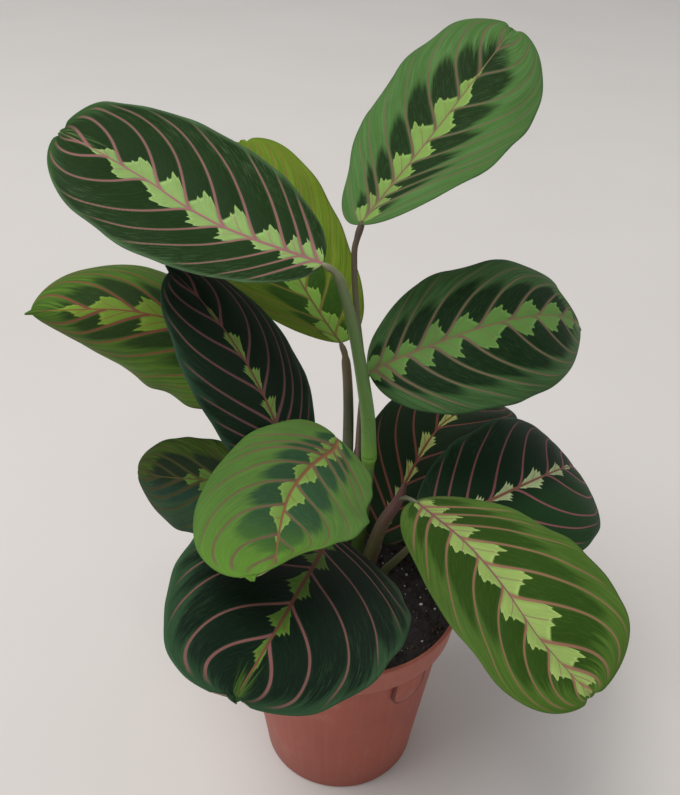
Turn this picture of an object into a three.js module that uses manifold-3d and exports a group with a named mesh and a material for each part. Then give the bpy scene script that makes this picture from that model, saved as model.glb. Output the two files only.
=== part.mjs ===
// Potted prayer plant: twelve broad leaves on sheathed petioles that rise from one crown of
// shoots, rooted in a plastic nursery pot full of peat.
// Millimetres, +Z up. The origin is the centre of the pot's underside; the plant's front faces -Y.
import * as THREE from 'three';
import { mergeVertices } from 'three/addons/utils/BufferGeometryUtils.js';
import Module from 'manifold-3d';

const wasm = await Module();
wasm.setup();

// ---------------------------------------------------------------- driving dimensions
const GAP = 0.35;                 // clearance between pieces that touch in the real plant

// Pot
const POT_HEIGHT = 110;
const RIM_RADIUS = 60;            // outside of the lip
const BASE_RADIUS = 41;
const SHOULDER_RADIUS = 53.4;     // tapered wall, just under the collar
const COLLAR_HEIGHT = 16;         // straight band below the rim
const COLLAR_FOOT_RADIUS = 57.4;
const LIP_HEIGHT = 2;
const LIP_OVERHANG = 0.9;
const POT_WALL = 1.2;
const FLOOR_THICKNESS = 1.6;
const FOOT_CHAMFER = 1;
const COLLAR_STEP = 1;            // height over which the inside widens into the collar
const POT_SIDES = 40;
const DRAIN_COUNT = 8;
const DRAIN_RADIUS = 4;
const DRAIN_CIRCLE = 27;
const LABEL_WIDTH = 14;           // U-shaped label pocket hanging from the collar
const LABEL_DROP = 11;            // how far it reaches below the collar
const LABEL_PROUD = 1.4;
const LABEL_AZIMUTH = 28;         // degrees round from the front, towards +X

// Soil
const SOIL_LEVEL = 102;
const SOIL_MOUND = 2.5;           // extra height around the crown
const SOIL_RIPPLE = 0.7;
const SOIL_SIDES = 40;
const SOIL_RINGS = 5;
const ROOTING_DEPTH = 8;          // how deep a shoot's foot sits in the soil

// Leaves
const BLADE_THICKNESS = 0.9;
const BLADE_ACROSS = 6;           // facets over the width
const BLADE_ALONG = 14;           // facets over the length
const MIDRIB_STEPS = 40;
const BLADE_EDGE = 0.7;           // half width left at the very base and tip
const DRIP_TIP = 0.03;            // share of the length taken by the small pointed tip
const DRIP_TIP_WIDTH = 2.6;

// Petioles
const PULVINUS_LENGTH = 6;        // the thin joint between petiole and blade
const SEAT_IN_LINE = 0.6;         // from the pulvinus to the blade's base, arriving along the midrib
const SEAT_FROM_BELOW = 1.3;      // the same, arriving square to the blade
const PULVINUS_RADIUS = 1.3;
const STEM_SIDES = 8;

// Each blade: base is where it joins its petiole. heading turns the blade about the vertical (0 points
// to the back, positive to the left), pitch raises its tip and roll banks it. droop, sweep and twist
// bend it over its whole length; fold lifts each half from the midrib and arch curls it down again.
// skew makes the right half wider than the left. belly is where it is widest, and butt and point
// say how full its two ends are.
const BLADES = {
  top_left: {
    base: [-14, 1, 289], heading: 79, pitch: 18, roll: -14, length: 126, width: 74,
    droop: -5, sweep: 6, twist: -21, fold: 14, arch: 12, skew: -0.02, belly: 0.49, butt: 2.1, point: 2,
  },
  top_right: {
    base: [2, 17, 302], heading: -36, pitch: 29, roll: -19, length: 127, width: 77,
    droop: -4, sweep: 8, twist: 40, fold: 7, arch: 25, skew: -0.05, belly: 0.48, butt: 1.6, point: 2.1,
  },
  back_upper: {
    base: [-6, 29, 237], heading: 37, pitch: 22, roll: 16, length: 135, width: 80,
    droop: -20, sweep: 8, twist: -38, fold: 14, arch: 13, skew: -0.17, belly: 0.45, butt: 2.2, point: 2.5,
  },
  middle_right: {
    base: [7.5, 16, 229], heading: -98, pitch: 39, roll: 44, length: 140, width: 71,
    droop: 102, sweep: -12, twist: 26, fold: 7, arch: 32, skew: 0.1, belly: 0.42, butt: 2, point: 1.9,
  },
  far_left: {
    base: [-30, 15, 227], heading: 84, pitch: 37, roll: -25, length: 138, width: 82,
    droop: 60, sweep: -21, twist: -43, fold: -14, arch: 64, skew: -0.06, belly: 0.47, butt: 2.6, point: 2.2,
  },
  left_dark: {
    base: [-24, -35, 206], heading: 31, pitch: 60, roll: 22, length: 106, width: 62,
    droop: 28, sweep: -22, twist: 5, fold: 8, arch: 25, skew: 0, belly: 0.48, butt: 2.3, point: 1.6,
  },
  front_light: {
    base: [-6, -27, 221], heading: 150, pitch: -6, roll: -31, length: 104, width: 63,
    droop: -34, sweep: -8, twist: 49, fold: 12, arch: 16, skew: -0.08, belly: 0.49, butt: 2.7, point: 1.8,
  },
  front_low: {
    base: [-7, -30, 171], heading: 177, pitch: 29, roll: -24, length: 143, width: 91,
    droop: 28, sweep: 6, twist: 12, fold: 7, arch: 25, skew: 0.06, belly: 0.4, butt: 2.5, point: 2.3,
  },
  small_left: {
    base: [-46, 7, 172], heading: 74, pitch: -18, roll: -53, length: 86, width: 51,
    droop: 22, sweep: 12, twist: -15, fold: 4, arch: 32, skew: -0.17, belly: 0.5, butt: 2.3, point: 2,
  },
  back_right: {
    base: [18, 15, 126], heading: -24, pitch: 50, roll: -20, length: 132, width: 74,
    droop: 75, sweep: 0, twist: 15, fold: 12, arch: 15, skew: -0.08, belly: 0.5, butt: 1.9, point: 2.2,
  },
  right_dark: {
    base: [36, -3, 149], heading: -78, pitch: 27, roll: 40, length: 132, width: 79,
    droop: 84, sweep: -9, twist: 0, fold: 8, arch: 24, skew: 0.05, belly: 0.53, butt: 2.1, point: 2.4,
  },
  front_right: {
    base: [33, -15, 178], heading: -144, pitch: 0, roll: -6, length: 117, width: 75,
    droop: 33, sweep: -13, twist: 18, fold: 10, arch: 18, skew: -0.15, belly: 0.56, butt: 2, point: 3.2,
  },
};

// Each petiole: the points it passes through from its foot up to the start of the pulvinus, which ends
// just short of the blade's base, and its radius at the foot and just under the pulvinus.
const SOIL_FOOT = SOIL_LEVEL - ROOTING_DEPTH;
const NODE_HEIGHT = 187;          // the swollen node of the tall front cane
const CANE = {
  path: [[5, 12, SOIL_FOOT], [6, 12, 125], [8.5, 9.5, 160], [9.5, 8, NODE_HEIGHT]],
  footRadius: 3.8,
  topRadius: 3.6,
  nodeRadius: 4.1,
};
const PETIOLES = {
  top_left: {
    path: [[9.5, 8, NODE_HEIGHT + 0.8], [7.5, 7, 214], [1, 5, 252], [-4, 3, 273], [-8, 2, 284]],
    radii: [3.8, 2],
  },
  top_right: {
    path: [[10, 13.6, 192], [6, 12.6, 226], [1, 12, 262], [-1, 14, 287], [0, 15.5, 295]],
    radii: [1.4, 1.3],
  },
  back_upper: {
    path: [[-3, 17, SOIL_FOOT], [-1.3, 15, 140], [-0.8, 16, 185], [-1.5, 20, 213], [-3.5, 26, 231]],
    radii: [3.8, 2.1],
  },
  middle_right: {
    path: [[4, 20, SOIL_FOOT], [3.5, 17, 140], [4, 16, 180], [4.5, 16.5, 205], [5.5, 16.3, 222]],
    radii: [1.9, 1.2],
  },
  far_left: {
    path: [[-9, 22, SOIL_FOOT], [-13, 19, 135], [-22, 16, 175], [-27, 14, 206], [-27.5, 14.5, 221]],
    radii: [2.2, 1.4],
  },
  left_dark: {
    path: [[-6, 8, SOIL_FOOT], [-9, 3, 130], [-16, -14, 165], [-21, -30, 189], [-22.5, -34.5, 199]],
    radii: [2.2, 1.4],
  },
  front_light: {
    path: [[1, 5, SOIL_FOOT], [-1, 1, 135], [-2.5, -8, 175], [-4.5, -18.5, 202], [-5, -24, 213]],
    radii: [2.2, 1.4],
  },
  front_low: {
    path: [[0, -3, SOIL_FOOT], [-1, -7, 118], [-4, -16, 144], [-6, -23, 160], [-6.5, -26, 166]],
    radii: [2.4, 1.5],
  },
  small_left: {
    path: [[-11, 13, SOIL_FOOT], [-14, 12, 125], [-24, 9, 155], [-35, 7, 169], [-40, 6.5, 172]],
    radii: [2, 1.3],
  },
  back_right: { path: [[12, 9, SOIL_FOOT], [13, 11, 108], [16, 13.5, 120]], radii: [2.2, 1.5] },
  right_dark: {
    path: [[19, 17, SOIL_FOOT], [21, 14, 108], [25, 11, 117], [30, 5, 130], [34, -1, 143]],
    radii: [2.6, 1.4],
  },
  front_right: {
    path: [[10, 2, SOIL_FOOT], [10.5, 3, 122], [17, -1, 152], [23.5, -6, 171], [27, -10, 177]],
    radii: [3, 1.5],
  },
};

// The sheath of the front right petiole is winged and ends in a free tip above the pulvinus.
const SHEATH_TIP = [26.5, -10, 186];
const SHEATH_RADIUS = 3.4;

// Colours, roughness and metalness
const FINISH = {
  pot: { color: 0x9c4a38, roughness: 0.55, metalness: 0 },
  soil: { color: 0x1b1511, roughness: 0.95, metalness: 0 },
  darkBlade: { color: 0x1d3f26, roughness: 0.5, metalness: 0 },
  lightBlade: { color: 0x4f8a2c, roughness: 0.5, metalness: 0 },
  greenStem: { color: 0x5b7a3c, roughness: 0.45, metalness: 0 },
  brownStem: { color: 0x5c3b30, roughness: 0.5, metalness: 0 },
};
const LIGHT_BLADES = ['top_right', 'back_upper', 'far_left', 'front_light', 'front_right', 'middle_right'];
const BROWN_PETIOLES = ['front_right', 'middle_right', 'back_right', 'left_dark', 'small_left'];

// ---------------------------------------------------------------- helpers
const radians = THREE.MathUtils.degToRad;
const lerp = THREE.MathUtils.lerp;

function indexed(geometry) {
  const bare = geometry.clone();
  bare.deleteAttribute('normal');
  bare.deleteAttribute('uv');
  return mergeVertices(bare, 1e-4);
}

function solid(geometry) {
  const welded = indexed(geometry);
  const vertProperties = new Float32Array(welded.attributes.position.array);
  const triVerts = new Uint32Array(welded.index.array);
  return new wasm.Manifold(new wasm.Mesh({ numProp: 3, vertProperties, triVerts }));
}

function surface(manifold) {
  const mesh = manifold.getMesh();
  const geometry = new THREE.BufferGeometry();
  geometry.setAttribute('position', new THREE.BufferAttribute(mesh.vertProperties, 3));
  geometry.setIndex(new THREE.BufferAttribute(mesh.triVerts, 1));
  geometry.computeVertexNormals();
  return geometry;
}

function piece(name, geometry, finish) {
  geometry.computeVertexNormals();
  const mesh = new THREE.Mesh(geometry, new THREE.MeshStandardMaterial(FINISH[finish]));
  mesh.name = name;
  return mesh;
}

// ---------------------------------------------------------------- leaf blade
// Directions along the midrib at the share s of its length, in the blade's own frame: the midrib
// starts along +Y, the upper face looks to +Z.
function midribFrame(blade, s) {
  const fall = -radians(blade.droop) * s;
  const turn = radians(blade.sweep) * s;
  const level = Math.cos(fall);
  const along = new THREE.Vector3(Math.sin(turn) * level, Math.cos(turn) * level, Math.sin(fall));
  const across = new THREE.Vector3(Math.cos(turn), -Math.sin(turn), 0);
  const up = new THREE.Vector3().crossVectors(across, along);
  const bank = radians(blade.twist) * s;
  across.multiplyScalar(Math.cos(bank)).addScaledVector(up, -Math.sin(bank));
  up.crossVectors(across, along);
  return { along, across, up };
}

function midribPoint(blade, s) {
  const point = new THREE.Vector3();
  const steps = Math.max(1, Math.round(MIDRIB_STEPS * s));
  for (let i = 0; i < steps; i += 1) {
    const middle = (s * (i + 0.5)) / steps;
    point.addScaledVector(midribFrame(blade, middle).along, (blade.length * s) / steps);
  }
  return point;
}

function halfWidth(blade, s) {
  const body = 1 - DRIP_TIP;
  const share = Math.min(s / body, 1);
  const fromBelly = share < blade.belly
    ? ((blade.belly - share) / blade.belly) ** blade.butt
    : ((share - blade.belly) / (1 - blade.belly)) ** blade.point;
  const oval = (blade.width / 2) * Math.sqrt(Math.max(0, 1 - fromBelly));
  const tip = (DRIP_TIP_WIDTH / 2) * Math.min(1, (1 - s) / DRIP_TIP);
  return BLADE_EDGE + Math.max(oval, s > blade.belly ? tip : 0);
}

// One half of a cross-section, as a share u of the half width from the midrib (0) to the margin (1).
function sectionPoint(blade, u) {
  const fold = radians(blade.fold);
  const arch = radians(blade.arch);
  const slope = fold - arch * u;
  return {
    out: (Math.sin(fold) - Math.sin(slope)) / arch,
    rise: (Math.cos(slope) - Math.cos(fold)) / arch,
    slope,
  };
}

function bladeGeometry(blade) {
  const geometry = new THREE.BoxGeometry(2, 2, 2, BLADE_ACROSS, BLADE_ALONG, 1);
  const place = geometry.attributes.position;
  for (let i = 0; i < place.count; i += 1) {
    const side = Math.sign(place.getX(i)) || 1;
    const u = Math.abs(place.getX(i));
    const s = (1 - Math.cos((Math.PI * (place.getY(i) + 1)) / 2)) / 2;
    const { across, up } = midribFrame(blade, s);
    const section = sectionPoint(blade, u);
    const half = halfWidth(blade, s) * (1 + side * blade.skew);
    const thickness = (place.getZ(i) * BLADE_THICKNESS) / 2;
    const x = side * (section.out * half - Math.sin(section.slope) * thickness);
    const z = section.rise * half + Math.cos(section.slope) * thickness;
    const point = midribPoint(blade, s).addScaledVector(across, x).addScaledVector(up, z);
    place.setXYZ(i, point.x, point.y, point.z);
  }
  return indexed(geometry);
}

function bladeTurn(blade) {
  return new THREE.Euler(radians(blade.pitch), radians(blade.roll), radians(blade.heading), 'ZXY');
}

function bladeDirection(blade) {
  return new THREE.Vector3(0, 1, 0).applyEuler(bladeTurn(blade));
}

// ---------------------------------------------------------------- stems
function curveThrough(points) {
  return new THREE.CatmullRomCurve3(points.map((p) => new THREE.Vector3(...p)), false, 'catmullrom', 0.5);
}

// A closed round stem: a cylinder bent along the curve, with radiusAt(t) giving its radius and swell
// making it larger all round.
function stemGeometry(curve, steps, radiusAt, swell = 0) {
  const geometry = new THREE.CylinderGeometry(1, 1, 1, STEM_SIDES, steps);
  const frames = curve.computeFrenetFrames(steps, false);
  const place = geometry.attributes.position;
  for (let i = 0; i < place.count; i += 1) {
    const step = Math.round((place.getY(i) + 0.5) * steps);
    const t = step / steps;
    const radius = radiusAt(t) + swell;
    const end = (step === steps) - (step === 0);
    const point = curve.getPointAt(t)
      .addScaledVector(frames.tangents[step], end * swell)
      .addScaledVector(frames.normals[step], -place.getX(i) * radius)
      .addScaledVector(frames.binormals[step], place.getZ(i) * radius);
    place.setXYZ(i, point.x, point.y, point.z);
  }
  return indexed(geometry);
}

function petioleCurve(key) {
  const points = PETIOLES[key].path;
  const join = new THREE.Vector3(...BLADES[key].base);
  const arrival = join.clone().sub(new THREE.Vector3(...points.at(-1))).normalize();
  const square = arrival.clone().cross(bladeDirection(BLADES[key])).length();
  const seat = lerp(SEAT_IN_LINE, SEAT_FROM_BELOW, square);
  return curveThrough([...points, join.addScaledVector(arrival, -seat).toArray()]);
}

function petioleRadius(key, length) {
  const [foot, top] = PETIOLES[key].radii;
  const narrows = length - 1.6 * PULVINUS_LENGTH;
  const narrow = length - PULVINUS_LENGTH;
  return (t) => {
    const toPulvinus = THREE.MathUtils.smoothstep(t * length, narrows, narrow);
    return lerp(lerp(foot, top, t), PULVINUS_RADIUS, toPulvinus);
  };
}

function petioleGeometry(key, swell = 0) {
  const curve = petioleCurve(key);
  const length = curve.getLength();
  const radius = petioleRadius(key, length);
  const steps = Math.max(8, Math.round(length / 9));
  return stemGeometry(curve, steps, radius, swell);
}

function caneGeometry(swell = 0) {
  const curve = curveThrough(CANE.path);
  return stemGeometry(curve, 12, (t) => {
    const plain = lerp(CANE.footRadius, CANE.topRadius, t);
    return lerp(plain, CANE.nodeRadius, THREE.MathUtils.smoothstep(t, 0.85, 0.96));
  }, swell);
}

function sheathGeometry() {
  const [, low, middle, high] = PETIOLES.front_right.path;
  const curve = curveThrough([low, middle, high, SHEATH_TIP]);
  return stemGeometry(curve, 8, (t) => SHEATH_RADIUS * Math.sqrt(Math.max(0.02, 1 - t ** 3)));
}

// ---------------------------------------------------------------- pot and soil
function potWall(height) {
  const foot = POT_HEIGHT - COLLAR_HEIGHT;
  return height < foot
    ? lerp(BASE_RADIUS, SHOULDER_RADIUS, height / foot)
    : lerp(COLLAR_FOOT_RADIUS, RIM_RADIUS - LIP_OVERHANG, (height - foot) / COLLAR_HEIGHT);
}

function labelPocket() {
  const outline = new THREE.Shape();
  const half = LABEL_WIDTH / 2;
  const top = LABEL_DROP;
  outline.moveTo(-half, top);
  outline.absarc(0, half, half, Math.PI, 2 * Math.PI, false);
  outline.lineTo(half, top);
  outline.closePath();
  const depth = COLLAR_FOOT_RADIUS - SHOULDER_RADIUS + 2 * POT_WALL;
  const pocket = new THREE.ExtrudeGeometry(outline, { depth, bevelEnabled: false, curveSegments: 8 });
  const lean = Math.atan2(SHOULDER_RADIUS - BASE_RADIUS, POT_HEIGHT - COLLAR_HEIGHT);
  const reach = potWall(POT_HEIGHT - COLLAR_HEIGHT - LABEL_DROP) + LABEL_PROUD;
  pocket.translate(0, 0, -depth);
  pocket.rotateX(Math.PI / 2 + lean);
  pocket.translate(0, -reach, POT_HEIGHT - COLLAR_HEIGHT - LABEL_DROP);
  pocket.rotateZ(radians(LABEL_AZIMUTH));
  return pocket;
}

// The inside of the collar at a level above its step.
function collarInside(level) {
  const foot = POT_HEIGHT - COLLAR_HEIGHT + POT_WALL + COLLAR_STEP;
  const wide = RIM_RADIUS - LIP_OVERHANG - POT_WALL;
  return lerp(COLLAR_FOOT_RADIUS - POT_WALL, wide, (level - foot) / (POT_HEIGHT - foot));
}

function insideOfPot(floor, clearance) {
  const foot = POT_HEIGHT - COLLAR_HEIGHT + POT_WALL + clearance;
  const inset = POT_WALL + clearance;
  return [
    [potWall(floor) - inset, floor],
    [SHOULDER_RADIUS - inset, foot],
    [COLLAR_FOOT_RADIUS - inset, foot + COLLAR_STEP],
  ];
}

function potGeometry() {
  const foot = POT_HEIGHT - COLLAR_HEIGHT;
  const profile = [
    [0, 0],
    [BASE_RADIUS - FOOT_CHAMFER, 0],
    [BASE_RADIUS, FOOT_CHAMFER],
    [SHOULDER_RADIUS, foot - 1],
    [COLLAR_FOOT_RADIUS, foot],
    [RIM_RADIUS - LIP_OVERHANG, POT_HEIGHT - LIP_HEIGHT - LIP_OVERHANG],
    [RIM_RADIUS, POT_HEIGHT - LIP_HEIGHT],
    [RIM_RADIUS, POT_HEIGHT - 0.4],
    [RIM_RADIUS - 0.5, POT_HEIGHT],
    [collarInside(POT_HEIGHT), POT_HEIGHT],
    ...insideOfPot(FLOOR_THICKNESS, 0).reverse(),
    [0, FLOOR_THICKNESS],
  ].map(([r, z]) => new THREE.Vector2(r, z));
  let pot = solid(new THREE.LatheGeometry(profile, POT_SIDES).rotateX(Math.PI / 2));
  const hollow = solid(soilCore(FLOOR_THICKNESS, 0, POT_HEIGHT));
  pot = pot.add(solid(labelPocket()).subtract(hollow));
  for (let i = 0; i < DRAIN_COUNT; i += 1) {
    const angle = (2 * Math.PI * (i + 0.5)) / DRAIN_COUNT;
    const drain = new THREE.CylinderGeometry(DRAIN_RADIUS, DRAIN_RADIUS, 4 * FLOOR_THICKNESS, 16);
    drain.rotateX(Math.PI / 2);
    drain.translate(DRAIN_CIRCLE * Math.cos(angle), DRAIN_CIRCLE * Math.sin(angle), 0);
    pot = pot.subtract(solid(drain));
  }
  return surface(pot);
}

// The space inside the pot from its floor to a level, shrunk by a clearance.
function soilCore(floor, clearance, level) {
  const inner = insideOfPot(floor + clearance, clearance);
  const edge = collarInside(level) - clearance;
  const profile = [[0, floor + clearance], ...inner, [edge, level]];
  for (let ring = SOIL_RINGS - 1; ring >= 0; ring -= 1) {
    profile.push([(edge * ring) / SOIL_RINGS, level]);
  }
  const outline = profile.map(([r, z]) => new THREE.Vector2(r, z));
  return new THREE.LatheGeometry(outline, SOIL_SIDES).rotateX(Math.PI / 2);
}

function soilHeight(x, y, edge) {
  const out = Math.hypot(x, y) / edge;
  const ripple = Math.sin(x * 0.31 + 1.3) * Math.cos(y * 0.27 - 0.4) + 0.6 * Math.sin((x + y) * 0.55);
  return SOIL_MOUND * (1 - out * out) + SOIL_RIPPLE * ripple * (1 - out ** 6);
}

function soilGeometry() {
  const core = soilCore(FLOOR_THICKNESS, GAP, SOIL_LEVEL);
  const place = core.attributes.position;
  const edge = collarInside(SOIL_LEVEL) - GAP;
  for (let i = 0; i < place.count; i += 1) {
    if (Math.abs(place.getZ(i) - SOIL_LEVEL) < 0.01) {
      place.setZ(i, SOIL_LEVEL + soilHeight(place.getX(i), place.getY(i), edge));
    }
  }
  let soil = solid(core).subtract(solid(caneGeometry(GAP)));
  for (const key of Object.keys(PETIOLES)) {
    if (PETIOLES[key].path[0][2] === SOIL_FOOT) {
      soil = soil.subtract(solid(petioleGeometry(key, GAP)));
    }
  }
  return surface(soil);
}

// ---------------------------------------------------------------- assembly
const plant = new THREE.Group();
plant.add(piece('pot', potGeometry(), 'pot'));
plant.add(piece('soil', soilGeometry(), 'soil'));
plant.add(piece('cane', caneGeometry(), 'greenStem'));

for (const key of Object.keys(PETIOLES)) {
  const finish = BROWN_PETIOLES.includes(key) ? 'brownStem' : 'greenStem';
  let geometry = petioleGeometry(key);
  if (key === 'front_right') {
    geometry = surface(solid(geometry).add(solid(sheathGeometry())));
  }
  plant.add(piece(`petiole_${key}`, geometry, finish));
}

for (const [key, blade] of Object.entries(BLADES)) {
  const finish = LIGHT_BLADES.includes(key) ? 'lightBlade' : 'darkBlade';
  const leaf = piece(`blade_${key}`, bladeGeometry(blade), finish);
  leaf.position.set(...blade.base);
  leaf.rotation.copy(bladeTurn(blade));
  plant.add(leaf);
}

export default plant;
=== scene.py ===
"""Looks for the potted prayer plant: leaf blades, petioles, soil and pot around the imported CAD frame.

Metres in Blender; the tables and helpers below work in millimetres and are scaled on the way out.
"""

import math

import bmesh
import bpy
import numpy as np
from mathutils import Matrix, Vector, noise


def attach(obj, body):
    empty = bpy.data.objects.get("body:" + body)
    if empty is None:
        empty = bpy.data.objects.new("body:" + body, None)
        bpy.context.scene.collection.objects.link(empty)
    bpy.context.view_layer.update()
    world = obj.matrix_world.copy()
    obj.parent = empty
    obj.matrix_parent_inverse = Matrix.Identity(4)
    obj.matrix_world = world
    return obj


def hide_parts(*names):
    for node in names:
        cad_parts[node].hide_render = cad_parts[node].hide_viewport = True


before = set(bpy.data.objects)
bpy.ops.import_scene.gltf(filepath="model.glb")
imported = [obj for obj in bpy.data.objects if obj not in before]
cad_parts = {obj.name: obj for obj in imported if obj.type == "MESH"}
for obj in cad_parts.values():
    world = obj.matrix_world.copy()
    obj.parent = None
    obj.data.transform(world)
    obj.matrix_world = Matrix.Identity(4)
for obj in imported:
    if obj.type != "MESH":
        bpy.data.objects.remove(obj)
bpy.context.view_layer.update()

scene = bpy.context.scene
MM = 0.001
LIGHT_LEVEL = 0.78        # how bright a white surface comes out, used to turn seen colours into paint
BRIGHTEST = 0.9           # no paint is lighter than this

# -------------------- camera
FOCAL_PX = 900.0
FRAME_PX = (680, 795)
CAMERA_PLACE = Vector((0.0, -0.343, 0.440))
CAMERA_RIGHT = Vector((0.99922, 0.03059, 0.02513))
CAMERA_UP = Vector((-0.03754, 0.53067, 0.84675))
CAMERA_FORWARD = Vector((-0.01257, 0.84703, -0.53140))


def put_in_scene(name, data):
    made = bpy.data.objects.new(name, data)
    scene.collection.objects.link(made)
    return made


def add_camera():
    data = bpy.data.cameras.new("camera")
    data.sensor_width = 36.0
    data.lens = FOCAL_PX / max(FRAME_PX) * data.sensor_width
    data.clip_start = 0.01
    camera = put_in_scene("camera", data)
    turn = Matrix((CAMERA_RIGHT, CAMERA_UP, -CAMERA_FORWARD)).transposed().to_4x4()
    camera.matrix_world = Matrix.Translation(CAMERA_PLACE) @ turn
    scene.camera = camera


add_camera()

# -------------------- sizes shared with the CAD
# base, heading/pitch/roll, length/width, droop/sweep/twist, fold/arch, skew, belly, butt, point
BLADES = {
    "top_left": ((-14, 1, 289), (79, 18, -14), (126, 74), (-5, 6, -21), (14, 12), (-0.02, 0.49, 2.1, 2)),
    "top_right": ((2, 17, 302), (-36, 29, -19), (127, 77), (-4, 8, 40), (7, 25), (-0.05, 0.48, 1.6, 2.1)),
    "back_upper": ((-6, 29, 237), (37, 22, 16), (135, 80), (-20, 8, -38), (14, 13), (-0.17, 0.45, 2.2, 2.5)),
    "middle_right": ((7.5, 16, 229), (-98, 39, 44), (140, 71), (102, -12, 26), (7, 32), (0.1, 0.42, 2, 1.9)),
    "far_left": ((-30, 15, 227), (84, 37, -25), (138, 82), (60, -21, -43), (-14, 64), (-0.06, 0.47, 2.6, 2.2)),
    "left_dark": ((-24, -35, 206), (31, 60, 22), (106, 62), (28, -22, 5), (8, 25), (0, 0.48, 2.3, 1.6)),
    "front_light": ((-6, -27, 221), (150, -6, -31), (104, 63), (-34, -8, 49), (12, 16), (-0.08, 0.49, 2.7, 1.8)),
    "front_low": ((-7, -30, 171), (177, 29, -24), (143, 91), (28, 6, 12), (7, 25), (0.06, 0.4, 2.5, 2.3)),
    "small_left": ((-46, 7, 172), (74, -18, -53), (86, 51), (22, 12, -15), (4, 32), (-0.17, 0.5, 2.3, 2)),
    "back_right": ((18, 15, 126), (-24, 50, -20), (132, 74), (75, 0, 15), (12, 15), (-0.08, 0.5, 1.9, 2.2)),
    "right_dark": ((36, -3, 149), (-78, 27, 40), (132, 79), (84, -9, 0), (8, 24), (0.05, 0.53, 2.1, 2.4)),
    "front_right": ((33, -15, 178), (-144, 0, -6), (117, 75), (33, -13, 18), (10, 18), (-0.15, 0.56, 2, 3.2)),
}
# radius at the foot and under the joint, then points along the stem; all but the top two start in the soil
PETIOLES = {
    "top_left": ((3.8, 2), (9.5, 8, 187.8), (7.5, 7, 214), (1, 5, 252), (-4, 3, 273), (-8, 2, 284)),
    "top_right": ((1.4, 1.3), (10, 13.6, 192), (6, 12.6, 226), (1, 12, 262), (-1, 14, 287), (0, 15.5, 295)),
    "back_upper": ((3.8, 2.1), (-3, 17, 94), (-1.3, 15, 140), (-0.8, 16, 185), (-1.5, 20, 213), (-3.5, 26, 231)),
    "middle_right": ((1.9, 1.2), (4, 20, 94), (3.5, 17, 140), (4, 16, 180), (4.5, 16.5, 205), (5.5, 16.3, 222)),
    "far_left": ((2.2, 1.4), (-9, 22, 94), (-13, 19, 135), (-22, 16, 175), (-27, 14, 206), (-27.5, 14.5, 221)),
    "left_dark": ((2.2, 1.4), (-6, 8, 94), (-9, 3, 130), (-16, -14, 165), (-21, -30, 189), (-22.5, -34.5, 199)),
    "front_light": ((2.2, 1.4), (1, 5, 94), (-1, 1, 135), (-2.5, -8, 175), (-4.5, -18.5, 202), (-5, -24, 213)),
    "front_low": ((2.4, 1.5), (0, -3, 94), (-1, -7, 118), (-4, -16, 144), (-6, -23, 160), (-6.5, -26, 166)),
    "small_left": ((2, 1.3), (-11, 13, 94), (-14, 12, 125), (-24, 9, 155), (-35, 7, 169), (-40, 6.5, 172)),
    "back_right": ((2.2, 1.5), (12, 9, 94), (13, 11, 108), (16, 13.5, 120)),
    "right_dark": ((2.6, 1.4), (19, 17, 94), (21, 14, 108), (25, 11, 117), (30, 5, 130), (34, -1, 143)),
    "front_right": ((3, 1.5), (10, 2, 94), (10.5, 3, 122), (17, -1, 152), (23.5, -6, 171), (27, -10, 177)),
}
CANE = ((5, 12, 94), (6, 12, 125), (8.5, 9.5, 160), (9.5, 8, 187))
BLADE_GAP = 0.3
SHEATH = ((10.5, 3, 122), (17, -1, 152), (23.5, -6, 171), (26.5, -10, 186))

# -------------------- how each leaf is shaped and marked
# left, right: where the side veins leave the midrib, in thousandths of its length
# sweep: how far they run on towards the tip, linear and cubic, left then right
# spread, basal_step: how much of that the veins at the base keep, and how far apart those lie
# rib: sideways drift of the midrib (share of its length, share of the half width)
# ruffle: waves of the margin; notch: drawn-in tip; cordate: reached-back base; all in mm
# hook: how far the tip is bent aside and on; dents: hollows in the margin (side, place, spread, depth)
# bite: a piece missing beside the tip (mm aside, width, depth)
# lobe, lobe_end: reach and end of the pale lobes; dark, dark_end: the same of the dark zone, left and right
# basal: pale foot; fan: pale strokes at the tip
# side_tone, tip_tone: colours that one half (-1 left, 1 right) and the tip lean to
COMMON = dict(
    spread=0.4, basal_step=0.15, rib=((0, 0), (1, 0)), ruffle=0.5, notch=0, cordate=0, hook=(0, 0), dents=(),
    bite=(0, 1, 0), dark_end=1, fan=0, rib_width=0.75)
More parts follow.
